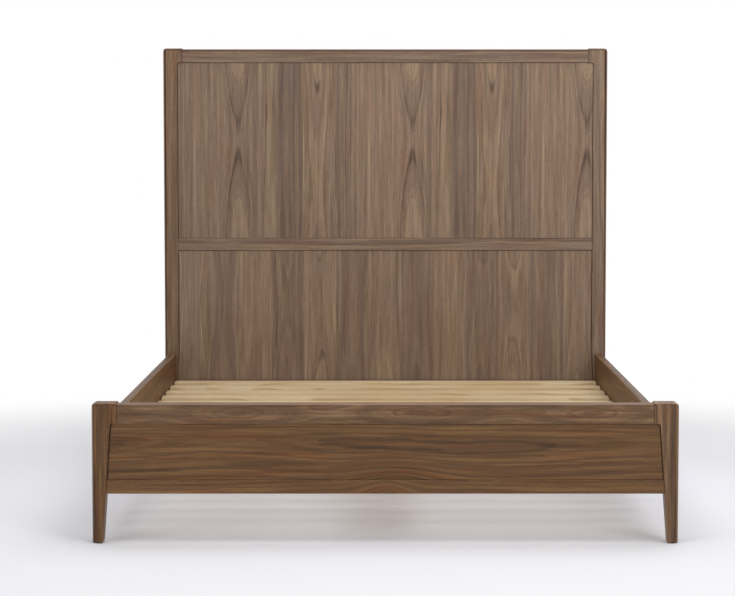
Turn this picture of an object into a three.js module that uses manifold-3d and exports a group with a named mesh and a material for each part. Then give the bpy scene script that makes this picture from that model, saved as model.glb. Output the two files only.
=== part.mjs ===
// A queen-size walnut panel bed frame: headboard, footboard, hooked side rails and a slatted deck.
// Units are millimetres. X runs across the bed, Y runs along it with the headboard at +Y, Z is up.
// The origin is on the floor under the middle of the bed. Left is -X, as seen from the foot end.
import * as THREE from "three";
import { mergeVertices } from "three/addons/utils/BufferGeometryUtils.js";
import Module from "manifold-3d";

const wasm = await Module();
wasm.setup();

// ---- Driving dimensions ----

// Whole bed
const WIDTH = 1636;
const LENGTH = 2160;
const HEAD_HEIGHT = 1457;
const FOOT_HEIGHT = 395;
const FIT = 0.3; // gap left between faces that rest on each other
const SLIP = 0.4; // room round a tenon, tongue or panel edge in its groove
const OVERRUN = 1; // how far a cutter runs past the face it opens, or a joined part into its fellow

// Corner posts: a leg that tapers to the floor, and an ear at the top that meets the top rail
const POST_DEPTH = 57;
const POST_WIDTH = 52;
const FOOT_END_WIDTH = 29.5;
const FOOT_END_DEPTH = 50;
const WIDTH_TAPER_TOP = 328;
const DEPTH_TAPER_TOP = 140;
const EAR_WIDTH = 70;
const EAR_FILLET = 8;
const POST_CORNER_RADIUS = 15;
const POST_EDGE_RADIUS = 16;
const TOP_EDGE_RADIUS = 12;
const GLIDE_HEIGHT = 3;
const GLIDE_CHAMFER = 1;
const GLIDE_RADIUS = 11;
const GLIDE_PIN_RADIUS = 3;
const GLIDE_PIN_LENGTH = 14;

// Rails and panels of the two ends
const RAIL_SETBACK = 2.5; // the posts stand this far proud of the rails
const PANEL_SETBACK = 3; // and the rails this far proud of the panels
const RAIL_DEPTH = 45;
const PANEL_THICKNESS = 14;
const PANEL_ENGAGEMENT = 8; // how far a panel's edge runs into its groove
const PANEL_REBATE = 4.5; // how much of a panel's thickness is cut away in front of that edge
const SIDE_REVEAL = 2; // gap left between a panel's face and the posts
const RAIL_REVEAL = 1; // gap left between a panel's face and the rails
const POST_ABOVE_RAIL = 3;
const HEAD_TOP_RAIL_HEIGHT = 49;
const HEAD_MID_RAIL = { low: 714, high: 758 };
const HEAD_BOTTOM_RAIL = { low: 150, high: 230 };
const FOOT_TOP_RAIL_HEIGHT = 56;
const FOOT_BOTTOM_RAIL = { low: 140, high: 178 };
const FOOT_BOTTOM_RAIL_DEPTH = 30;
const TENON_LENGTH = 18;
const TENON_THICKNESS = 9;
const TENON_SHOULDER = 6;
const TENON_BEHIND_PANEL = 1.5;

// Headboard boards: one narrow starter, then a repeating trio, and the last fills what is left
const FIRST_BOARD_WIDTH = 49;
const BOARD_TRIO = [231, 182, 230];
const TRIO_COUNT = 2;
const TONGUE_THICKNESS = 4;
const TONGUE_LENGTH = 6;

// Side rails, ledgers and the slatted deck
const SIDE_RAIL = { outer: 804, inner: 778, low: 146, high: 330 };
const SIDE_RAIL_ROUND = 5;
const LEDGER_SIZE = 26;
const LEDGER_HALF_LENGTH = 1005;
const LEDGER_TOP = 213;
const SLAT_COUNT = 13;
const SLAT_WIDTH = 76;
const SLAT_THICKNESS = 19;
const SLAT_HALF_LENGTH = 775;
const SLAT_SPAN = 1996; // from the outside of the first slat to the outside of the last

// Hooked bed-rail fasteners: a hook plate in each rail end drops into a slotted plate in each post
const PLATE_WIDTH = 18;
const PLATE_HEIGHT = 130;
const PLATE_THICKNESS = 2.7;
const PLATE_CENTRE_Z = 238;
const HOOK_THICKNESS = 4.6;
const HOOK_REACH = 11;
const HOOK_ARM = { below: 4, above: 14 };
const HOOK_LIP_DROP = 10;
const HOOK_NOSE_CHAMFER = 2;
const HOOK_SHOULDER_CHAMFER = 4;
const HOOK_POCKET_ROOM = { aside: 0.8, ahead: 2, below: 2, above: 1 };
const HOOK_OFFSETS = [-36, 30];
const SLOT_WIDTH = 5.4;
const SLOT_HEIGHT = 29;

// Centre support: a beam under the slats on three legs with screw-in levelling feet
const BEAM = { halfWidth: 32, low: 175, high: 213 };
const BRACKET = { halfWidth: 30, thickness: 2.5, reach: 44, head: 23, foot: 32.7 };
const LEG_HALF_WIDTH = 22.5;
const LEG_BOTTOM = 30;
const LEG_POSITIONS = { foot: -160, middle: 240, head: 640 }; // out of sight from the foot end
const LEG_TENON = { radius: 10, length: 15 };
const STEM = { radius: 5, low: 6, high: 70 };
const STEM_BORE = { radius: 5.5, top: 92 };
const NUT = { radius: 9.8, low: 11, high: 17, sides: 6 };
const PAD = { radius: 20, neck: 12, rim: 4, top: 10, socket: 5.4 };

// Facets of rounded stretches
const ARC_STEPS = 6;
const ROUND_SIDES = 24;

// ---- Dimensions that follow ----

const HALF_WIDTH = WIDTH / 2;
const HALF_LENGTH = LENGTH / 2;
const INNER_LENGTH = HALF_LENGTH - POST_DEPTH; // from the middle to the inside face of a post
const POST_BOTTOM = GLIDE_HEIGHT + FIT;
const HEAD_TOP_RAIL = railUnder(HEAD_HEIGHT, HEAD_TOP_RAIL_HEIGHT);
const FOOT_TOP_RAIL = railUnder(FOOT_HEIGHT, FOOT_TOP_RAIL_HEIGHT);
const SIDES = { left: -1, right: 1 };
const ENDS = { foot: -1, head: 1 };

// Depths along Y, low to high. The head's show face looks towards the foot, the foot's away.
const HEAD_RAIL_Y = [INNER_LENGTH + RAIL_SETBACK, INNER_LENGTH + RAIL_SETBACK + RAIL_DEPTH];
const HEAD_PANEL_Y = panelBehind(HEAD_RAIL_Y[0]);
const FOOT_RAIL_Y = [-HALF_LENGTH + RAIL_SETBACK, -HALF_LENGTH + RAIL_SETBACK + RAIL_DEPTH];
const FOOT_LOW_RAIL_Y = [FOOT_RAIL_Y[0], FOOT_RAIL_Y[0] + FOOT_BOTTOM_RAIL_DEPTH];
const FOOT_PANEL_Y = panelBehind(FOOT_RAIL_Y[0]);
const HEAD_TENON_Y = tenonBehind(HEAD_PANEL_Y);
const FOOT_TENON_Y = tenonBehind(FOOT_PANEL_Y);

function railUnder(postHeight, railHeight) {
  const high = postHeight - POST_ABOVE_RAIL;
  return { low: high - railHeight, high };
}

function panelBehind(railFace) {
  return [railFace + PANEL_SETBACK, railFace + PANEL_SETBACK + PANEL_THICKNESS];
}

function tenonBehind(panel) {
  return [panel[1] + TENON_BEHIND_PANEL, panel[1] + TENON_BEHIND_PANEL + TENON_THICKNESS];
}

// Distance from the middle of the bed to a post's inside edge, below the ear.
function insideEdge(z) {
  const rise = Math.min(z, WIDTH_TAPER_TOP) / WIDTH_TAPER_TOP;
  return HALF_WIDTH - FOOT_END_WIDTH - (POST_WIDTH - FOOT_END_WIDTH) * rise;
}

// ---- Materials ----

const walnut = new THREE.MeshStandardMaterial({ color: 0x71573f, roughness: 0.45, metalness: 0 });
const panelWalnut = new THREE.MeshStandardMaterial({ color: 0x7b6450, roughness: 0.5, metalness: 0 });
const pine = new THREE.MeshStandardMaterial({ color: 0xd2b183, roughness: 0.7, metalness: 0 });
const zincSteel = new THREE.MeshStandardMaterial({ color: 0xb4b6b5, roughness: 0.35, metalness: 1 });
const nylon = new THREE.MeshStandardMaterial({ color: 0x27231f, roughness: 0.6, metalness: 0 });

// ---- Shape helpers ----

function toSolid(geometry) {
  geometry.deleteAttribute("normal");
  geometry.deleteAttribute("uv");
  const merged = mergeVertices(geometry, 1e-3);
  return new wasm.Manifold(
    new wasm.Mesh({
      numProp: 3,
      vertProperties: merged.attributes.position.array,
      triVerts: new Uint32Array(merged.index.array),
    }),
  );
}

function toGeometry(solid) {
  const { vertProperties, triVerts } = solid.getMesh();
  const geometry = new THREE.BufferGeometry();
  geometry.setAttribute("position", new THREE.BufferAttribute(vertProperties, 3));
  geometry.setIndex(new THREE.BufferAttribute(triVerts, 1));
  geometry.computeVertexNormals();
  return geometry;
}

function cut(solid, ...tools) {
  return tools.reduce((rest, tool) => rest.subtract(tool), solid);
}

function join(solid, ...others) {
  return others.reduce((whole, other) => whole.add(other), solid);
}

function box([x0, x1], [y0, y1], [z0, z1]) {
  const geometry = new THREE.BoxGeometry(Math.abs(x1 - x0), Math.abs(y1 - y0), Math.abs(z1 - z0));
  return toSolid(geometry.translate((x0 + x1) / 2, (y0 + y1) / 2, (z0 + z1) / 2));
}

function extrude(points, depth) {
  const shape = new THREE.Shape(points.map(([a, b]) => new THREE.Vector2(a, b)));
  return new THREE.ExtrudeGeometry(shape, { depth, bevelEnabled: false });
}

// A prism along X whose outline is given as (y, z) points.
function prismAlongX(points, [x0, x1]) {
  const turn = new THREE.Matrix4().makeBasis(
    new THREE.Vector3(0, 1, 0),
    new THREE.Vector3(0, 0, 1),
    new THREE.Vector3(1, 0, 0),
  );
  return toSolid(extrude(points, x1 - x0).applyMatrix4(turn).translate(x0, 0, 0));
}

// A prism along Y whose outline is given as (x, z) points.
function prismAlongY(points, [y0, y1]) {
  return toSolid(extrude(points, y1 - y0).rotateX(Math.PI / 2).translate(0, y1, 0));
}

// A prism along Z whose outline is given as (x, y) points.
function prismAlongZ(points, [z0, z1]) {
  return toSolid(extrude(points, z1 - z0).translate(0, 0, z0));
}

function cylinder(x, y, [z0, z1], radius, sides = ROUND_SIDES) {
  const geometry = new THREE.CylinderGeometry(radius, radius, z1 - z0, sides);
  return toSolid(geometry.rotateX(Math.PI / 2).translate(x, y, (z0 + z1) / 2));
}

// A turned solid about a vertical axis, from (radius, z) points that start and end on the axis.
function turned(x, y, profile) {
  const points = profile.map(([radius, z]) => new THREE.Vector2(radius, z));
  const geometry = new THREE.LatheGeometry(points, ROUND_SIDES);
  return toSolid(geometry.rotateX(Math.PI / 2).translate(x, y, 0));
}

function arc(a, b, radius, fromDegrees, toDegrees) {
  return Array.from({ length: ARC_STEPS + 1 }, (_, step) => {
    const degrees = fromDegrees + ((toDegrees - fromDegrees) * step) / ARC_STEPS;
    const angle = THREE.MathUtils.degToRad(degrees);
    return [a + radius * Math.cos(angle), b + radius * Math.sin(angle)];
  });
}

function ordered(a, b) {
  return a < b ? [a, b] : [b, a];
}

function grown([low, high], by) {
  return [low - by, high + by];
}

const bed = new THREE.Group();

function addPiece(name, solid, material) {
  const mesh = new THREE.Mesh(toGeometry(solid), material);
  mesh.name = name;
  bed.add(mesh);
}

// ---- Panels and the grooves they sit in ----

// The outline of a panel between the posts. Its edges run into the posts by reach and follow the taper.
function panelOutline(low, high, reach) {
  const levels = [...new Set([low, WIDTH_TAPER_TOP, high])].filter((z) => z >= low && z <= high);
  const right = levels.map((z) => [insideEdge(z) + reach, z]);
  const left = levels.map((z) => [-insideEdge(z) - reach, z]).reverse();
  return [...right, ...left];
}

const PANELS = {
  headBoards: {
    low: HEAD_MID_RAIL.high,
    high: HEAD_TOP_RAIL.low,
    depths: HEAD_PANEL_Y,
    bottomReveal: RAIL_REVEAL,
    underEars: true,
  },
  headLower: {
    low: HEAD_BOTTOM_RAIL.high,
    high: HEAD_MID_RAIL.low,
    depths: HEAD_PANEL_Y,
    bottomReveal: RAIL_REVEAL,
    underEars: false,
  },
  foot: {
    low: FOOT_BOTTOM_RAIL.high,
    high: FOOT_TOP_RAIL.low,
    depths: FOOT_PANEL_Y,
    bottomReveal: FIT,
    underEars: true,
  },
};

// A panel's face. Under the posts' ears its top corners are rounded, to clear the fillets there.
function panelFace({ low, high, bottomReveal, underEars }) {
  const top = high - RAIL_REVEAL;
  if (!underEars) return panelOutline(low + bottomReveal, top, -SIDE_REVEAL);
  const radius = EAR_FILLET - RAIL_REVEAL;
  const sides = panelOutline(low + bottomReveal, top - radius, -SIDE_REVEAL);
  const half = sides.length / 2;
  const x = insideEdge(top) - SIDE_REVEAL - radius;
  const rightCorner = arc(x, top - radius, radius, 0, 90).slice(1);
  const leftCorner = arc(-x, top - radius, radius, 90, 180).slice(0, -1);
  return [...sides.slice(0, half), ...rightCorner, ...leftCorner, ...sides.slice(half)];
}

// What is cut from the front of a panel's margins, so that its face stands clear of the frame.
function panelRebate(panel) {
  const { low, high, depths } = panel;
  const margin = 2 * PANEL_ENGAGEMENT;
  const around = panelOutline(low - margin, high + margin, margin);
  const face = panelFace(panel);
  const reach = [depths[0] - OVERRUN, depths[0] + PANEL_REBATE];
  return cut(prismAlongY(around, reach), prismAlongY(face, grown(reach, OVERRUN)));
}

function panelSolid(panel) {
  const outline = panelOutline(panel.low - PANEL_ENGAGEMENT, panel.high + PANEL_ENGAGEMENT, PANEL_ENGAGEMENT);
  return cut(prismAlongY(outline, panel.depths), panelRebate(panel));
}

// The groove that takes the thinned margin of a panel.
function panelGroove({ low, high, depths }) {
  const reach = PANEL_ENGAGEMENT + SLIP;
  const range = grown([depths[0] + PANEL_REBATE, depths[1]], SLIP);
  return prismAlongY(panelOutline(low - reach, high + reach, reach), range);
}

const headBoardGroove = panelGroove(PANELS.headBoards);
const headLowerGroove = panelGroove(PANELS.headLower);
const footPanelGroove = panelGroove(PANELS.foot);

// ---- Tenons on the rail ends, and their mortises in the posts ----

// The tenon at one side of a rail whose shoulder stands at shoulderX.
function tenon(side, rail, shoulderX, depths, extra = 0) {
  const across = ordered(side * (shoulderX - TENON_SHOULDER), side * (shoulderX + TENON_LENGTH + extra));
  const up = [rail.low + TENON_SHOULDER - extra, rail.high - TENON_SHOULDER + extra];
  return box(across, grown(depths, extra), up);
}

const EAR_EDGE = HALF_WIDTH - EAR_WIDTH;
const JOINTS = {
  head: [
    { rail: HEAD_TOP_RAIL, shoulderX: EAR_EDGE, depths: HEAD_TENON_Y },
    { rail: HEAD_MID_RAIL, shoulderX: insideEdge(HEAD_MID_RAIL.low), depths: HEAD_TENON_Y },
    { rail: HEAD_BOTTOM_RAIL, shoulderX: insideEdge(HEAD_BOTTOM_RAIL.low), depths: HEAD_TENON_Y },
  ],
  foot: [
    { rail: FOOT_TOP_RAIL, shoulderX: EAR_EDGE, depths: FOOT_TENON_Y },
    { rail: FOOT_BOTTOM_RAIL, shoulderX: insideEdge(FOOT_BOTTOM_RAIL.low), depths: FOOT_TENON_Y },
  ],
};

function bothTenons({ rail, shoulderX, depths }) {
  return Object.values(SIDES).map((side) => tenon(side, rail, shoulderX, depths));
}

// ---- Corner posts ----

// The post seen from the end of the bed: inset from its outer edge, and height.
function postFrontOutline(height, earLow) {
  const outline = [
    [0, POST_BOTTOM],
    ...arc(POST_CORNER_RADIUS, height - POST_CORNER_RADIUS, POST_CORNER_RADIUS, 180, 90),
    [EAR_WIDTH, height],
    [EAR_WIDTH, earLow],
    ...arc(POST_WIDTH + EAR_FILLET, earLow - EAR_FILLET, EAR_FILLET, 90, 180),
  ];
  if (earLow - EAR_FILLET > WIDTH_TAPER_TOP) outline.push([POST_WIDTH, WIDTH_TAPER_TOP]);
  outline.push([HALF_WIDTH - insideEdge(POST_BOTTOM), POST_BOTTOM]);
  return outline;
}

// The post seen from the side of the bed: inset from the bed's end, and height.
function postSideOutline(height) {
  const edge = height - TOP_EDGE_RADIUS;
  return [
    [0, POST_BOTTOM],
    ...arc(TOP_EDGE_RADIUS, edge, TOP_EDGE_RADIUS, 180, 90),
    ...arc(POST_DEPTH - TOP_EDGE_RADIUS, edge, TOP_EDGE_RADIUS, 90, 0),
    [POST_DEPTH, DEPTH_TAPER_TOP],
    [FOOT_END_DEPTH, POST_BOTTOM],
  ];
}

// The post seen from above: its two outer edges are rounded.
function postPlanOutline() {
  return [
    ...arc(POST_EDGE_RADIUS, POST_DEPTH - POST_EDGE_RADIUS, POST_EDGE_RADIUS, 90, 180),
    ...arc(POST_EDGE_RADIUS, POST_EDGE_RADIUS, POST_EDGE_RADIUS, 180, 270),
    [EAR_WIDTH, 0],
    [EAR_WIDTH, POST_DEPTH],
  ];
}

function postBlank(side, end, height, earLow) {
  const x = (inset) => side * (HALF_WIDTH - inset);
  const y = (inset) => end * (HALF_LENGTH - inset);
  const front = postFrontOutline(height, earLow).map(([u, z]) => [x(u), z]);
  const flank = postSideOutline(height).map(([v, z]) => [y(v), z]);
  const plan = postPlanOutline().map(([u, v]) => [x(u), y(v)]);
  const depthRange = ordered(y(0), y(POST_DEPTH));
  const widthRange = ordered(x(0), x(EAR_WIDTH));
  return prismAlongY(front, depthRange)
    .intersect(prismAlongX(flank, widthRange))
    .intersect(prismAlongZ(plan, [POST_BOTTOM, height]));
}

function footCentre(side, end) {
  return [side * (HALF_WIDTH - FOOT_END_WIDTH / 2), end * (HALF_LENGTH - FOOT_END_DEPTH / 2)];
}

function post(side, end, height, topRail, grooves, joints) {
  const mortises = joints.map((j) => tenon(side, j.rail, j.shoulderX, j.depths, SLIP));
  const [x, y] = footCentre(side, end);
  const pinTop = POST_BOTTOM + GLIDE_PIN_LENGTH + SLIP;
  const pinHole = cylinder(x, y, [0, pinTop], GLIDE_PIN_RADIUS + SLIP);
  const blank = postBlank(side, end, height, topRail.low);
  return cut(blank, ...grooves, ...mortises, pinHole, ...slotPlateRecess(side, end));
}

function glide(side, end) {
  const [x, y] = footCentre(side, end);
  return turned(x, y, [
    [0, 0],
    [GLIDE_RADIUS - GLIDE_CHAMFER, 0],
    [GLIDE_RADIUS, GLIDE_CHAMFER],
    [GLIDE_RADIUS, GLIDE_HEIGHT],
    [GLIDE_PIN_RADIUS, GLIDE_HEIGHT],
    [GLIDE_PIN_RADIUS, GLIDE_HEIGHT + GLIDE_PIN_LENGTH],
    [0, GLIDE_HEIGHT + GLIDE_PIN_LENGTH],
  ]);
}

// ---- Hooked bed-rail fasteners ----

const PLATE_CENTRE_X = (SIDE_RAIL.outer + SIDE_RAIL.inner) / 2;
const RAIL_END = INNER_LENGTH - FIT;

function plateBox(side, end, [near, far], extra = 0) {
  const halfWidth = PLATE_WIDTH / 2 + extra;
  const halfHeight = PLATE_HEIGHT / 2 + extra;
  const across = grown([side * PLATE_CENTRE_X, side * PLATE_CENTRE_X], halfWidth);
  return box(across, ordered(end * near, end * far), grown([PLATE_CENTRE_Z, PLATE_CENTRE_Z], halfHeight));
}

// The slots' floors carry the hooks' arms, and each slot is tall enough for the hook to drop in.
function slotBox(side, end, offset, width, [near, far], [low, high]) {
  const across = grown([side * PLATE_CENTRE_X, side * PLATE_CENTRE_X], width / 2);
  const z = PLATE_CENTRE_Z + offset;
  return box(across, ordered(end * near, end * far), [z + low, z + high]);
}

function slotPlate(side, end) {
  const depths = [INNER_LENGTH, INNER_LENGTH + PLATE_THICKNESS];
  const reach = grown(depths, OVERRUN);
  const span = [-HOOK_ARM.below - FIT, SLOT_HEIGHT - HOOK_ARM.below];
  const slots = HOOK_OFFSETS.map((offset) => slotBox(side, end, offset, SLOT_WIDTH, reach, span));
  return cut(plateBox(side, end, depths), ...slots);
}

// The post is let in for the slotted plate, and hollowed behind each slot for the hook.
function slotPlateRecess(side, end) {
  const room = HOOK_POCKET_ROOM;
  const seat = plateBox(side, end, [INNER_LENGTH - OVERRUN, INNER_LENGTH + PLATE_THICKNESS + FIT], SLIP);
  const reach = [INNER_LENGTH, RAIL_END + HOOK_REACH + room.ahead];
  const lowest = -HOOK_ARM.below - HOOK_LIP_DROP - room.below;
  const span = [lowest, SLOT_HEIGHT - HOOK_ARM.below + room.above];
  const width = SLOT_WIDTH + 2 * room.aside;
  return [seat, ...HOOK_OFFSETS.map((offset) => slotBox(side, end, offset, width, reach, span))];
}

function hookPlate(side, end) {
  const face = RAIL_END;
  const root = face - PLATE_THICKNESS / 2;
  const tip = face + HOOK_REACH;
  const lipFace = INNER_LENGTH + PLATE_THICKNESS + SLIP;
  const across = grown([side * PLATE_CENTRE_X, side * PLATE_CENTRE_X], HOOK_THICKNESS / 2);
  const hooks = HOOK_OFFSETS.map((offset) => {
    const armLow = PLATE_CENTRE_Z + offset - HOOK_ARM.below;
    const armHigh = PLATE_CENTRE_Z + offset + HOOK_ARM.above;
    const outline = [
      [root, armLow],
      [lipFace, armLow],
      [lipFace, armLow - HOOK_LIP_DROP],
      [tip - HOOK_NOSE_CHAMFER, armLow - HOOK_LIP_DROP],
      [tip, armLow - HOOK_LIP_DROP + HOOK_NOSE_CHAMFER],
      [tip, armHigh - HOOK_SHOULDER_CHAMFER],
      [tip - HOOK_SHOULDER_CHAMFER, armHigh],
      [root, armHigh],
    ];
    return prismAlongX(outline.map(([y, height]) => [end * y, height]), across);
  });
  return join(plateBox(side, end, [face - PLATE_THICKNESS, face]), ...hooks);
}

// ---- Head and foot ends ----

// A rail's section across its length, with its upper edges rounded.
function railSection([y0, y1], { low, high }, radius) {
  return [
    [y0, low],
    [y1, low],
    ...arc(y1 - radius, high - radius, radius, 0, 90),
    ...arc(y0 + radius, high - radius, radius, 90, 180),
  ];
}

function topRail(range, depths, groove, joint) {
  const length = EAR_EDGE - FIT;
  const body = prismAlongX(railSection(depths, range, TOP_EDGE_RADIUS), [-length, length]);
  return cut(join(body, ...bothTenons(joint)), groove);
}

// A rail that fits between the tapering posts.
function crossRail(range, depths, grooves, joint) {
  const body = prismAlongY(panelOutline(range.low, range.high, -FIT), depths);
  return cut(join(body, ...bothTenons(joint)), ...grooves);
}

function boardEdges() {
  const start = -insideEdge(HEAD_HEIGHT);
  const widths = [FIRST_BOARD_WIDTH];
  for (let trio = 0; trio < TRIO_COUNT; trio += 1) widths.push(...BOARD_TRIO);
  const edges = [start - PANEL_ENGAGEMENT];
  let x = start;
  for (const width of widths) {
    x += width;
    edges.push(x);
  }
  edges.push(-start + PANEL_ENGAGEMENT);
  return edges;
}

// One upright board: a tongue on its right edge, and a groove for its neighbour's on its left.
function board(left, right, isFirst, isLast) {
  const [front, back] = HEAD_PANEL_Y;
  const middle = (front + back) / 2;
  const half = TONGUE_THICKNESS / 2;
  const outline = [[left, front]];
  if (isLast) {
    outline.push([right, front], [right, back]);
  } else {
    const edge = right - FIT;
    outline.push([edge, front], [edge, middle - half], [edge + TONGUE_LENGTH, middle - half]);
    outline.push([edge + TONGUE_LENGTH, middle + half], [edge, middle + half], [edge, back]);
  }
  outline.push([left, back]);
  if (!isFirst) {
    const depth = TONGUE_LENGTH + FIT;
    outline.push([left, middle + half + FIT], [left + depth, middle + half + FIT]);
    outline.push([left + depth, middle - half - FIT], [left, middle - half - FIT]);
  }
  const heights = grown([HEAD_MID_RAIL.high, HEAD_TOP_RAIL.low], PANEL_ENGAGEMENT);
  return prismAlongZ(outline, heights);
}

function addHeadboard() {
  const [top, mid, bottom] = JOINTS.head;
  for (const [name, side] of Object.entries(SIDES)) {
    const grooves = [headBoardGroove, headLowerGroove];
    const solid = post(side, ENDS.head, HEAD_HEIGHT, HEAD_TOP_RAIL, grooves, JOINTS.head);
    addPiece(`head_post_${name}`, solid, walnut);
  }
  addPiece("head_top_rail", topRail(HEAD_TOP_RAIL, HEAD_RAIL_Y, headBoardGroove, top), walnut);
  const midGrooves = [headBoardGroove, headLowerGroove];
  addPiece("head_mid_rail", crossRail(HEAD_MID_RAIL, HEAD_RAIL_Y, midGrooves, mid), walnut);
  addPiece("head_bottom_rail", crossRail(HEAD_BOTTOM_RAIL, HEAD_RAIL_Y, [headLowerGroove], bottom), walnut);
  addPiece("head_lower_panel", panelSolid(PANELS.headLower), panelWalnut);
  const rebate = panelRebate(PANELS.headBoards);
  const edges = boardEdges();
  const count = edges.length - 1;
  for (let i = 0; i < count; i += 1) {
    const solid = cut(board(edges[i], edges[i + 1], i === 0, i === count - 1), rebate);
    addPiece(`head_panel_board_${i + 1}`, solid, panelWalnut);
  }
}

function addFootboard() {
  const [top, bottom] = JOINTS.foot;
  for (const [name, side] of Object.entries(SIDES)) {
    const solid = post(side, ENDS.foot, FOOT_HEIGHT, FOOT_TOP_RAIL, [footPanelGroove], JOINTS.foot);
    addPiece(`foot_post_${name}`, solid, walnut);
  }
  addPiece("foot_top_rail", topRail(FOOT_TOP_RAIL, FOOT_RAIL_Y, footPanelGroove, top), walnut);
  addPiece("foot_panel", panelSolid(PANELS.foot), panelWalnut);
  const lowRail = crossRail(FOOT_BOTTOM_RAIL, FOOT_LOW_RAIL_Y, [footPanelGroove], bottom);
  addPiece("foot_bottom_rail", lowRail, walnut);
}

function addGlides() {
  for (const [endName, end] of Object.entries(ENDS)) {
    for (const [sideName, side] of Object.entries(SIDES)) {
      addPiece(`post_glide_${endName}_${sideName}`, glide(side, end), nylon);
    }
  }
}

// ---- Side rails and their fasteners ----

function sideRail(side) {
  const outline = railSection([SIDE_RAIL.inner, SIDE_RAIL.outer], SIDE_RAIL, SIDE_RAIL_ROUND);
  const body = prismAlongY(outline.map(([x, z]) => [side * x, z]), [-RAIL_END, RAIL_END]);
  const seats = Object.values(ENDS).map((end) =>
    plateBox(side, end, [RAIL_END - PLATE_THICKNESS - FIT, RAIL_END + OVERRUN], SLIP),
  );
  return cut(body, ...seats);
}

function ledger(side) {
  const outer = SIDE_RAIL.inner - FIT;
  const across = ordered(side * outer, side * (outer - LEDGER_SIZE));
  const along = [-LEDGER_HALF_LENGTH, LEDGER_HALF_LENGTH];
  return box(across, along, [LEDGER_TOP - LEDGER_SIZE, LEDGER_TOP]);
}

function addSides() {
  for (const [name, side] of Object.entries(SIDES)) {
    addPiece(`side_rail_${name}`, sideRail(side), walnut);
    addPiece(`slat_ledger_${name}`, ledger(side), pine);
    for (const [endName, end] of Object.entries(ENDS)) {
      addPiece(`rail_hook_plate_${endName}_${name}`, hookPlate(side, end), zincSteel);
      addPiece(`post_slot_plate_${endName}_${name}`, slotPlate(side, end), zincSteel);
    }
  }
}

// ---- Deck and centre support ----

function addSlats() {
  const step = (SLAT_SPAN - SLAT_WIDTH) / (SLAT_COUNT - 1);
  const low = LEDGER_TOP + FIT;
  for (let i = 0; i < SLAT_COUNT; i += 1) {
    const y = -(SLAT_SPAN - SLAT_WIDTH) / 2 + i * step;
    const along = grown([y, y], SLAT_WIDTH / 2);
    const solid = box([-SLAT_HALF_LENGTH, SLAT_HALF_LENGTH], along, [low, low + SLAT_THICKNESS]);
    addPiece(`slat_${String(i + 1).padStart(2, "0")}`, solid, pine);
  }
}

const BEAM_ENDS = { foot: FOOT_LOW_RAIL_Y[1] + FIT, head: HEAD_RAIL_Y[0] - FIT };

function beam() {
  const across = [-BEAM.halfWidth, BEAM.halfWidth];
  const body = box(across, [BEAM_ENDS.foot, BEAM_ENDS.head], [BEAM.low, BEAM.high]);
  const sockets = Object.values(LEG_POSITIONS).map((y) =>
    cylinder(0, y, grown([BEAM.low, BEAM.low + LEG_TENON.length], OVERRUN), LEG_TENON.radius + SLIP),
  );
  return cut(body, ...sockets);
}

// An angle bracket: one leaf stands against the end's bottom rail, the other lies under the beam.
function bracket(endName) {
  const inward = -ENDS[endName];
  const wall = BEAM_ENDS[endName];
  const top = BEAM.low - FIT;
  const { thickness, reach, halfWidth } = BRACKET;
  const bottom = top - BRACKET[endName];
  const outline = [
    [0, bottom],
    [thickness, bottom],
    [thickness, top - 2 * thickness],
    [2 * thickness, top - thickness],
    [reach, top - thickness],
    [reach, top],
    [thickness, top],
    [0, top - thickness],
  ];
  return prismAlongX(outline.map(([y, z]) => [wall + inward * y, z]), [-halfWidth, halfWidth]);
}

function centreLeg(y) {
  const across = [-LEG_HALF_WIDTH, LEG_HALF_WIDTH];
  const top = BEAM.low - FIT;
  const body = box(across, grown([y, y], LEG_HALF_WIDTH), [LEG_BOTTOM, top]);
  const tenonTop = cylinder(0, y, [top - OVERRUN, top + LEG_TENON.length], LEG_TENON.radius);
  const bore = cylinder(0, y, [LEG_BOTTOM - OVERRUN, STEM_BORE.top], STEM_BORE.radius);
  return cut(join(body, tenonTop), bore);
}

function levellerStem(y) {
  const rod = cylinder(0, y, [STEM.low, STEM.high], STEM.radius);
  return join(rod, cylinder(0, y, [NUT.low, NUT.high], NUT.radius, NUT.sides));
}

function levellerPad(y) {
  return turned(0, y, [
    [0, 0],
    [PAD.radius, 0],
    [PAD.radius, PAD.rim],
    [PAD.neck, PAD.top],
    [PAD.socket, PAD.top],
    [PAD.socket, STEM.low - FIT],
    [0, STEM.low - FIT],
  ]);
}

function addCentreSupport() {
  addPiece("centre_beam", beam(), pine);
  for (const endName of Object.keys(ENDS)) {
    addPiece(`beam_bracket_${endName}`, bracket(endName), zincSteel);
  }
  for (const [name, y] of Object.entries(LEG_POSITIONS)) {
    addPiece(`centre_leg_${name}`, centreLeg(y), pine);
    addPiece(`leveller_stem_${name}`, levellerStem(y), zincSteel);
    addPiece(`leveller_pad_${name}`, levellerPad(y), nylon);
  }
}

addHeadboard();
addFootboard();
addGlides();
addSides();
addSlats();
addCentreSupport();

export default bed;
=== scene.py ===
"""The looks of a walnut panel bed frame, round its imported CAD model. Lengths are in metres."""

import math

import bmesh
import bpy
from mathutils import Matrix, Vector


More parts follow.
